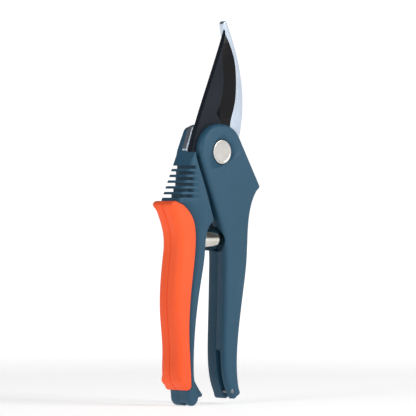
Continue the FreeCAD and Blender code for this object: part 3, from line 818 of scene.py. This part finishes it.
def make_cutting_blade():
    """Flat plate with a wide hollow-looking bevel ground from its face down to the cutting edge."""
    loops = plane_loops("cutting_blade", BLADE_FACE_Y)
    outline, hole = loops[0], loops[1]
    tip_z = max(p.y for p in outline)
    grind = [Vector((PIVOT.x + x * MM, PIVOT.z + z * MM)) for x, z in GRIND_LINE]
    outline = curved(anticlockwise(outline), BLADE_STEP)
    outline = with_point(with_point(outline, grind[0]), grind[-1])
    start = min(range(len(outline)), key=lambda i: (outline[i] - grind[-1]).length)
    outline = outline[start:] + outline[:start]
    spine = min(range(len(outline)), key=lambda i: (outline[i] - grind[0]).length)
    tip = max(range(len(outline)), key=lambda i: outline[i].y)
    count = len(outline)
    points = outline + grind[1:-1] + hole
    line = [spine] + [count + i for i in range(len(grind) - 2)] + [0]
    rim = list(range(count + len(grind) - 2, len(points)))
    edges = list(zip(line, line[1:])) + list(closed_pairs(rim))
    places, triangles = triangulated(points, edges, list(range(count)))
    bevel_outline = outline[:spine + 1] + grind[1:-1]

    def face_y(i):
        if i < tip:
            return EDGE_Y if i > 0 else BLADE_FACE_Y
        if i < spine:
            share = (outline[i].y - outline[spine].y) / (tip_z - outline[spine].y)
            return BLADE_FACE_Y + (EDGE_Y - TIP_THICKNESS - BLADE_FACE_Y) * share ** TIP_FALL
        if i == tip:
            return EDGE_Y - TIP_THICKNESS
        return BLADE_FACE_Y

    bm = bmesh.new()
    front = [bm.verts.new((p.x, face_y(i), p.y)) for i, p in enumerate(places)]
    back = [bm.verts.new((p.x, EDGE_Y, p.y)) for p in places]
    hole_middle = Vector((PIVOT.x, PIVOT.z))
    hole_radius = min((p - hole_middle).length for p in hole)
    for triangle in triangles:
        centre = sum((places[i] for i in triangle), Vector((0, 0))) / 3
        if (centre - hole_middle).length < hole_radius:
            continue
        face = bm.faces.new([front[i] for i in triangle])
        # Faces on the bevel take the darker copy of the coating, which is painted shade.
        face.material_index = 1 if inside(centre, bevel_outline) else 0
        bm.faces.new([back[i] for i in reversed(triangle)])
    for loop in (list(range(count)), rim):
        for i, j in closed_pairs(loop):
            bm.faces.new((front[i], front[j], back[j], back[i]))
    bmesh.ops.remove_doubles(bm, verts=bm.verts, dist=0.5e-6)
    bmesh.ops.dissolve_degenerate(bm, edges=bm.edges, dist=1e-7)
    bmesh.ops.delete(bm, geom=[v for v in bm.verts if not v.link_faces], context="VERTS")
    mark_spine(bm)
    blade = link_mesh("cutting_blade_ground", bm, [COATING, BEVEL_PAINTED_SHADE], BLADE_SMOOTH_ANGLE)
    bevel = blade.modifiers.new("spine_chamfer", "BEVEL")
    bevel.limit_method = "WEIGHT"
    bevel.width = SPINE_CHAMFER
    bevel.segments = 1
    bevel.material = 0
    baked(blade, BLADE_SMOOTH_ANGLE)
    placed(blade, RIGHT, "cutting_blade")


def mark_spine(bm):
    """Marks the two long edges of the blade's spine for the chamfer."""
    weight = bm.edges.layers.float.new("bevel_weight_edge")
    for edge in bm.edges:
        first, second = edge.verts
        x, z = pivot_xz((first.co + second.co) / 2)
        hard = len(edge.link_faces) == 2 and edge.calc_face_angle(0) > math.radians(50)
        along = abs(first.co.y - second.co.y) < 0.1 * MM
        if hard and along and x < SPINE_LEAN * z - SPINE_OFFSET:
            edge[weight] = 1.0


def with_point(outline, point):
    """The outline with its nearest place to point added as a corner."""
    count = len(outline)
    best = min(range(count), key=lambda i: to_segment(point, outline[i], outline[(i + 1) % count]))
    a, b = outline[best], outline[(best + 1) % count]
    place = a.lerp(b, max(0.0, min(1.0, (point - a).dot(b - a) / (b - a).length_squared)))
    if (place - a).length < ON_LINE or (place - b).length < ON_LINE:
        return outline
    return outline[:best + 1] + [place] + outline[best + 1:]


def inside(point, outline):
    """Whether the point is inside the closed outline."""
    crossings = 0
    for a, b in closed_pairs(outline):
        if (a.y > point.y) != (b.y > point.y):
            crossings += point.x < a.x + (b.x - a.x) * (point.y - a.y) / (b.y - a.y)
    return crossings % 2 == 1


HOOK_EDGE = 0.5 * MM
HOOK_SKIN = 0.04 * MM


def make_hook():
    """The counter blade: a polished plate with both faces' edges eased."""
    low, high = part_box("hook_blade")
    outline = anticlockwise(plane_loops("hook_blade", high.y)[0])
    plate = envelope("hook_blade_polished", outline, low.y, high.y, lambda x, z: HOOK_EDGE, HOOK_STEEL,
                     HOOK_EDGE, HOOK_SKIN)
    placed(trimmed(plate, "hook_blade"), LEFT, "hook_blade")


# ---------------------------------------------------------------- turned pieces and fasteners

ROUND_SIDES = 64
SHANK_RADIUS = 4.0 * MM
THREAD_RADIUS = 3.0 * MM
THREAD_START = 4.5 * MM        # Y of the shoulder that the washer lies against
HEAD_DEPTH = 1.6 * MM
NUT_RIM = 4.85 * MM
NUT_CORNER_SHARE = 1.135       # how far a nut's corner reaches, in half widths across its flats


def turned_mesh(bm, rings, centre=(0.0, 0.0), closed=False, sides=ROUND_SIDES):
    """Adds rings about an axis along Y: each is (radius, y) or (radius of angle, y)."""
    made = []
    for radius, y in rings:
        ring = []
        for i in range(sides):
            angle = 2 * math.pi * i / sides
            reach = radius(angle) if callable(radius) else radius
            ring.append(bm.verts.new((centre[0] + reach * math.cos(angle), y,
                                      centre[1] + reach * math.sin(angle))))
        made.append(ring)
    for first, second in zip(made, made[1:] + (made[:1] if closed else [])):
        bridge(bm, first, second)
    if not closed:
        bm.faces.new(made[0])
        bm.faces.new(made[-1])


def hexagon(across):
    """Radius of a hexagon at an angle, its corners a little rounded."""
    def reach(angle):
        turn = (angle + math.pi / 6) % (math.pi / 3) - math.pi / 6
        return min(across / 2 / math.cos(turn), across / 2 * NUT_CORNER_SHARE)
    return reach


def node_axis(node):
    """Where the axis of a round CAD node crosses the XZ plane."""
    low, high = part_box(node)
    return (low.x + high.x) / 2, (low.z + high.z) / 2


def make_bolt():
    """Flat head with a bright chamfered rim, a fine turned step, then shank and thread."""
    low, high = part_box("pivot_bolt")
    y = low.y
    bm = bmesh.new()
    turned_mesh(bm, [
        (4.9 * MM, y + 0.10 * MM), (5.3 * MM, y + 0.10 * MM), (5.5 * MM, y + 0.02 * MM), (5.6 * MM, y),
        (6.0 * MM, y), (6.25 * MM, y + 0.08 * MM), (6.38 * MM, y + 0.22 * MM), (6.42 * MM, y + 0.4 * MM),
        (6.42 * MM, y + 1.5 * MM), (6.3 * MM, y + HEAD_DEPTH), (SHANK_RADIUS, y + HEAD_DEPTH),
        (SHANK_RADIUS, THREAD_START), (THREAD_RADIUS, THREAD_START), (THREAD_RADIUS, high.y - 0.4 * MM),
        (2.6 * MM, high.y)], (PIVOT.x, PIVOT.z))
    placed(link_mesh("pivot_bolt_turned", bm, [NICKEL], 20), LEFT, "pivot_bolt")


def make_nut_and_washer():
    """A hexagonal nut with a chamfered outer face, and the washer under it."""
    low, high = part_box("pivot_nut")
    bm = bmesh.new()
    shape = hexagon(high.z - low.z)
    turned_mesh(bm, [
        (THREAD_RADIUS, low.y), (shape, low.y), (shape, high.y - 0.45 * MM),
        (lambda angle: min(shape(angle), NUT_RIM + 0.4 * MM), high.y - 0.3 * MM),
        (NUT_RIM, high.y), (3.35 * MM, high.y), (THREAD_RADIUS, high.y - 0.35 * MM)],
        node_axis("pivot_nut"), closed=True, sides=96)
    placed(link_mesh("pivot_nut_hex", bm, [ZINC], 20), LEFT, "pivot_nut")
    low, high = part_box("pivot_washer")
    bm = bmesh.new()
    outer = (high.x - low.x) / 2
    turned_mesh(bm, [
        (THREAD_RADIUS, low.y), (outer - 0.1 * MM, low.y), (outer, low.y + 0.1 * MM),
        (outer, high.y - 0.2 * MM), (outer - 0.2 * MM, high.y), (THREAD_RADIUS, high.y)],
        node_axis("pivot_washer"), closed=True)
    placed(link_mesh("pivot_washer_ring", bm, [ZINC], 25), LEFT, "pivot_washer")


def make_pins():
    """The catch's hinge pin and the pin it closes on, with eased ends."""
    for node, body, name in (("catch_pin", LEFT, "catch_pin_turned"),
                             ("catch_keeper_pin", RIGHT, "catch_keeper_pin_turned")):
        low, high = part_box(node)
        radius = (high.x - low.x) / 2
        bm = bmesh.new()
        turned_mesh(bm, [
            (0.55 * radius, low.y + 0.02 * MM), (radius - 0.35 * MM, low.y + 0.05 * MM),
            (radius - 0.08 * MM, low.y + 0.2 * MM), (radius, low.y + 0.45 * MM),
            (radius, high.y - 0.3 * MM), (radius - 0.3 * MM, high.y)], node_axis(node), sides=40)
        placed(link_mesh(name, bm, [DARK_ZINC], 30), body, node)


def one_screw():
    """A screw driven along -Y: flat head with a six-lobed socket, then the shank."""
    bm = bmesh.new()
    head, shank, under_head = 2.7 * MM, 1.3 * MM, -1.8 * MM

    def socket(scale):
        return lambda angle: scale * (1.16 + 0.17 * math.cos(6 * angle)) * MM

    turned_mesh(bm, [
        (socket(0.5), -1.1 * MM), (socket(0.9), -1.05 * MM), (socket(1.0), -0.15 * MM),
        (socket(1.08), -0.02 * MM), (1.75 * MM, 0.0), (head - 0.35 * MM, -0.02 * MM),
        (head - 0.1 * MM, -0.12 * MM), (head, -0.35 * MM), (head, -1.7 * MM), (head - 0.1 * MM, under_head),
        (shank, under_head), (shank, -11.2 * MM), (0.7 * MM, -12.0 * MM)], sides=48)
    return link_mesh("one_screw", bm, [ZINC], 25)


class Tree:
    """A geometry tree with named inputs, put together node by node."""

    def __init__(self, name):
        self.group = bpy.data.node_groups.new(name, "GeometryNodeTree")
        self.ids = {}

    def input(self, name, kind, value=None):
        made = self.group.interface.new_socket(name, in_out="INPUT", socket_type=kind)
        if value is not None:
            made.default_value = value
        self.ids[name] = made.identifier

    def finish_inputs(self):
        """Adds the output and keeps the sockets that the nodes start from and end in."""
        self.group.interface.new_socket("Geometry", in_out="OUTPUT", socket_type="NodeSocketGeometry")
        self.start = self.group.nodes.new("NodeGroupInput").outputs
        self.end = self.group.nodes.new("NodeGroupOutput").inputs

    def node(self, kind, links=None, **values):
        made = self.group.nodes.new(kind)
        for key, value in values.items():
            setattr(made, key, value)
        for socket, source in (links or {}).items():
            if isinstance(source, bpy.types.NodeSocket):
                self.group.links.new(source, made.inputs[socket])
            else:
                made.inputs[socket].default_value = source
        return made.outputs

    def close(self, geometry):
        """Ends the tree in real mesh with its material."""
        real = self.node("GeometryNodeRealizeInstances", {"Geometry": geometry})[0]
        done = self.node("GeometryNodeSetMaterial", {
            "Geometry": real, "Material": self.start["Material"]})[0]
        self.group.links.new(done, self.end["Geometry"])

    def run(self, name, mesh, smooth_angle=30.0, **values):
        """A plain mesh object made by the tree from mesh and the named inputs."""
        made = bpy.data.objects.new(name, mesh)
        bpy.context.scene.collection.objects.link(made)
        modifier = made.modifiers.new(name, "NODES")
        modifier.node_group = self.group
        for key, value in values.items():
            modifier[self.ids[key]] = value
        return baked(made, smooth_angle)


def screws_tree():
    """One screw at every point of the mesh."""
    tree = Tree("screws_at_places")
    tree.input("Geometry", "NodeSocketGeometry")
    tree.input("Screw", "NodeSocketObject")
    tree.input("Size", "NodeSocketFloat", 1.0)
    tree.input("Material", "NodeSocketMaterial")
    tree.finish_inputs()
    screw = tree.node("GeometryNodeObjectInfo", {"Object": tree.start["Screw"]})["Geometry"]
    placed_screws = tree.node("GeometryNodeInstanceOnPoints", {
        "Points": tree.start["Geometry"], "Instance": screw, "Scale": tree.start["Size"]})[0]
    tree.close(placed_screws)
    return tree


def solid_middles(node):
    """Middle of each separate solid in a CAD node, on the node's rear face."""
    bm = merged_copy(node)
    left = set(bm.verts)
    middles = []
    while left:
        stack = [left.pop()]
        group = list(stack)
        while stack:
            for edge in stack.pop().link_edges:
                for vert in edge.verts:
                    if vert in left:
                        left.remove(vert)
                        stack.append(vert)
                        group.append(vert)
        xs, zs = [v.co.x for v in group], [v.co.z for v in group]
        middles.append(((min(xs) + max(xs)) / 2, max(v.co.y for v in group), (min(zs) + max(zs)) / 2))
    bm.free()
    return sorted(middles)


def make_screws():
    """Both handles' screws, each row at its CAD node's places."""
    tree = screws_tree()
    screw = one_screw()
    for node, body in (("left_shell_screws", LEFT), ("right_shell_screws", RIGHT)):
        places = bpy.data.meshes.new(node + "_places")
        places.from_pydata(solid_middles(node), [], [])
        made = tree.run(node + "_driven", places, Screw=screw, Size=1.0, Material=ZINC)
        placed(made, body, node)
    bpy.data.objects.remove(screw)


# ---------------------------------------------------------------- volute spring

SPRING_OUTER = 6.1 * MM
SPRING_INNER = 2.3 * MM
SPRING_TURNS = 3.5
SPRING_STRIP = 0.55 * MM
SPRING_WIDTH = 13.0 * MM
SPRING_POINTS = 72
STRIP_ROUND = 0.12 * MM


def spring_tree():
    """A flat strip wound on itself, each turn pushed further out along the axis."""
    tree = Tree("wound_strip")
    tree.input("Geometry", "NodeSocketGeometry")
    for name, value in (("Turns", SPRING_TURNS), ("Outer radius", SPRING_OUTER),
                        ("Inner radius", SPRING_INNER), ("Stagger", 0.0),
                        ("Strip width", SPRING_WIDTH), ("Strip thickness", SPRING_STRIP)):
        tree.input(name, "NodeSocketFloat", value)
    tree.input("Place", "NodeSocketVector")
    tree.input("Material", "NodeSocketMaterial")
    tree.finish_inputs()
    spiral = tree.node("GeometryNodeCurveSpiral", {
        "Resolution": SPRING_POINTS, "Rotations": tree.start["Turns"],
        "Start Radius": tree.start["Outer radius"], "End Radius": tree.start["Inner radius"],
        "Height": tree.start["Stagger"]})[0]
    upright = tree.node("GeometryNodeSetCurveNormal", {"Curve": spiral}, mode="Z_UP")[0]
    section = tree.node("GeometryNodeCurvePrimitiveQuadrilateral", {
        "Width": tree.start["Strip thickness"], "Height": tree.start["Strip width"]})[0]
    eased = tree.node("GeometryNodeFilletCurve", {"Curve": section, "Count": 3, "Radius": STRIP_ROUND},
                      mode="POLY")[0]
    strip = tree.node("GeometryNodeCurveToMesh", {"Curve": upright, "Profile Curve": eased,
                                                  "Fill Caps": True})[0]
    lying = tree.node("GeometryNodeTransform", {
        "Geometry": strip, "Rotation": (0.0, math.radians(90), 0.0), "Translation": tree.start["Place"]})[0]
    tree.close(lying)
    return tree


def make_spring():
    """The wound strip, laid between the handles where the CAD spring is."""
    low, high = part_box("volute_spring")
    stagger = (high.x - low.x) - SPRING_WIDTH
    start = Vector((low.x + SPRING_WIDTH / 2, 0.0, (low.z + high.z) / 2))
    spring = spring_tree().run("volute_spring_wound", bpy.data.meshes.new("spring_start"), 35,
                               Stagger=stagger, Place=start, Material=SPRING_STEEL)
    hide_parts("volute_spring")
    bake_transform(spring)


# ---------------------------------------------------------------- catch and what stays as it is

CATCH_EASE = 0.45 * MM
CATCH_HUB = 2.2 * MM


def make_catch():
    """The end catch, its long edges eased but for the ones at its pin."""
    pin = Vector(node_axis("catch_pin"))

    def ease(middle, edge):
        across = abs(edge.verts[0].co.y - edge.verts[1].co.y) > 0.5 * edge.calc_length()
        hub = (Vector((middle.x, middle.z)) - pin).length < CATCH_HUB
        return 0.0 if across or hub else CATCH_EASE

    catch = eased_copy("catch_lever", "catch_lever_moulding", CATCH_NYLON, ease, 3)
    placed(catch, CATCH, "catch_lever")


def finish_plain_nodes():
    """The inner pieces keep their CAD meshes and get their steel."""
    for node, material in (("hook_tang_pins", ZINC), ("blade_tang_pins", ZINC),
                           ("pivot_bushing", BUSHING_STEEL)):
        mesh = frame["nodes"][node].data
        mesh.materials.clear()
        mesh.materials.append(material)


# ---------------------------------------------------------------- studio

CAMERA_DISTANCE = 1.9
CAMERA_TURN = math.radians(-43)
FRAME_WIDTH = 0.2205
SENSOR_WIDTH = 36              # millimetres
AIM = PIVOT + Vector((-3.2 * MM, 0, -29.7 * MM))
FLOOR_SIZE = 6.0
FLOOR_PARTS = 24
SKY_BAND = 0.22                # how high the white band reaches, as the Z of a unit direction
SKY_WHITE = 1.05
SKY_LIGHT = 0.12
SOFTBOXES = (("key_light", (0.45, -1.25, 0.65), (0.8, 0.8), 13),   # place from AIM, size, watts
             ("side_light", (-1.3, -0.2, 0.5), (0.5, 0.9), 6))


def make_camera():
    """A long lens on the front left, level with what it aims at."""
    camera = bpy.data.cameras.new("camera")
    camera.sensor_width = SENSOR_WIDTH
    camera.lens = SENSOR_WIDTH * CAMERA_DISTANCE / FRAME_WIDTH
    camera.clip_end = 50
    holder = bpy.data.objects.new("camera", camera)
    bpy.context.scene.collection.objects.link(holder)
    towards = Vector((math.sin(CAMERA_TURN), -math.cos(CAMERA_TURN), 0))
    holder.location = AIM + towards * CAMERA_DISTANCE
    holder.rotation_euler = (math.radians(90), 0, CAMERA_TURN)
    bpy.context.scene.camera = holder


def make_floor():
    """A wide white floor that the butts stand on."""
    bm = bmesh.new()
    grid = bmesh.ops.create_grid(bm, x_segments=FLOOR_PARTS, y_segments=FLOOR_PARTS, size=FLOOR_SIZE)
    bmesh.ops.translate(bm, verts=grid["verts"], vec=(0, 0, CAD_BOX[0][2]))
    link_mesh("floor", bm, [studio_white()])


def softbox(name, place, size, power):
    """A rectangular light turned towards the shears."""
    light = bpy.data.lights.new(name, "AREA")
    light.shape = "RECTANGLE"
    light.size, light.size_y = size
    light.energy = power
    holder = bpy.data.objects.new(name, light)
    bpy.context.scene.collection.objects.link(holder)
    holder.location = AIM + Vector(place)
    holder.rotation_euler = (AIM - holder.location).to_track_quat("-Z", "Y").to_euler()


def make_studio():
    """A white band round the horizon under a dimmer sky, and two softboxes."""
    scene = bpy.context.scene
    scene.view_settings.view_transform = "Standard"
    world = bpy.data.worlds.new("studio")
    world.use_nodes = True
    nodes, links = world.node_tree.nodes, world.node_tree.links
    way = nodes.new("ShaderNodeTexCoord")
    split = nodes.new("ShaderNodeSeparateXYZ")
    links.new(way.outputs["Generated"], split.inputs[0])
    height = nodes.new("ShaderNodeMath")
    height.operation = "ABSOLUTE"
    links.new(split.outputs["Z"], height.inputs[0])
    fade = nodes.new("ShaderNodeMapRange")
    fade.interpolation_type = "SMOOTHSTEP"
    for socket, value in (("From Min", SKY_BAND / 2), ("From Max", SKY_BAND),
                          ("To Min", SKY_WHITE), ("To Max", SKY_LIGHT)):
        fade.inputs[socket].default_value = value
    links.new(height.outputs[0], fade.inputs["Value"])
    background = nodes["Background"]
    background.inputs["Color"].default_value = (1, 1, 1, 1)
    links.new(fade.outputs["Result"], background.inputs["Strength"])
    scene.world = world
    for name, place, size, power in SOFTBOXES:
        softbox(name, place, size, power)


make_camera()
make_studio()
make_floor()
make_shells()
make_grip_half("grip_front", -1)
make_grip_half("grip_rear", 1)
make_cutting_blade()
make_hook()
make_bolt()
make_nut_and_washer()
make_pins()
make_screws()
make_spring()
make_catch()
finish_plain_nodes()
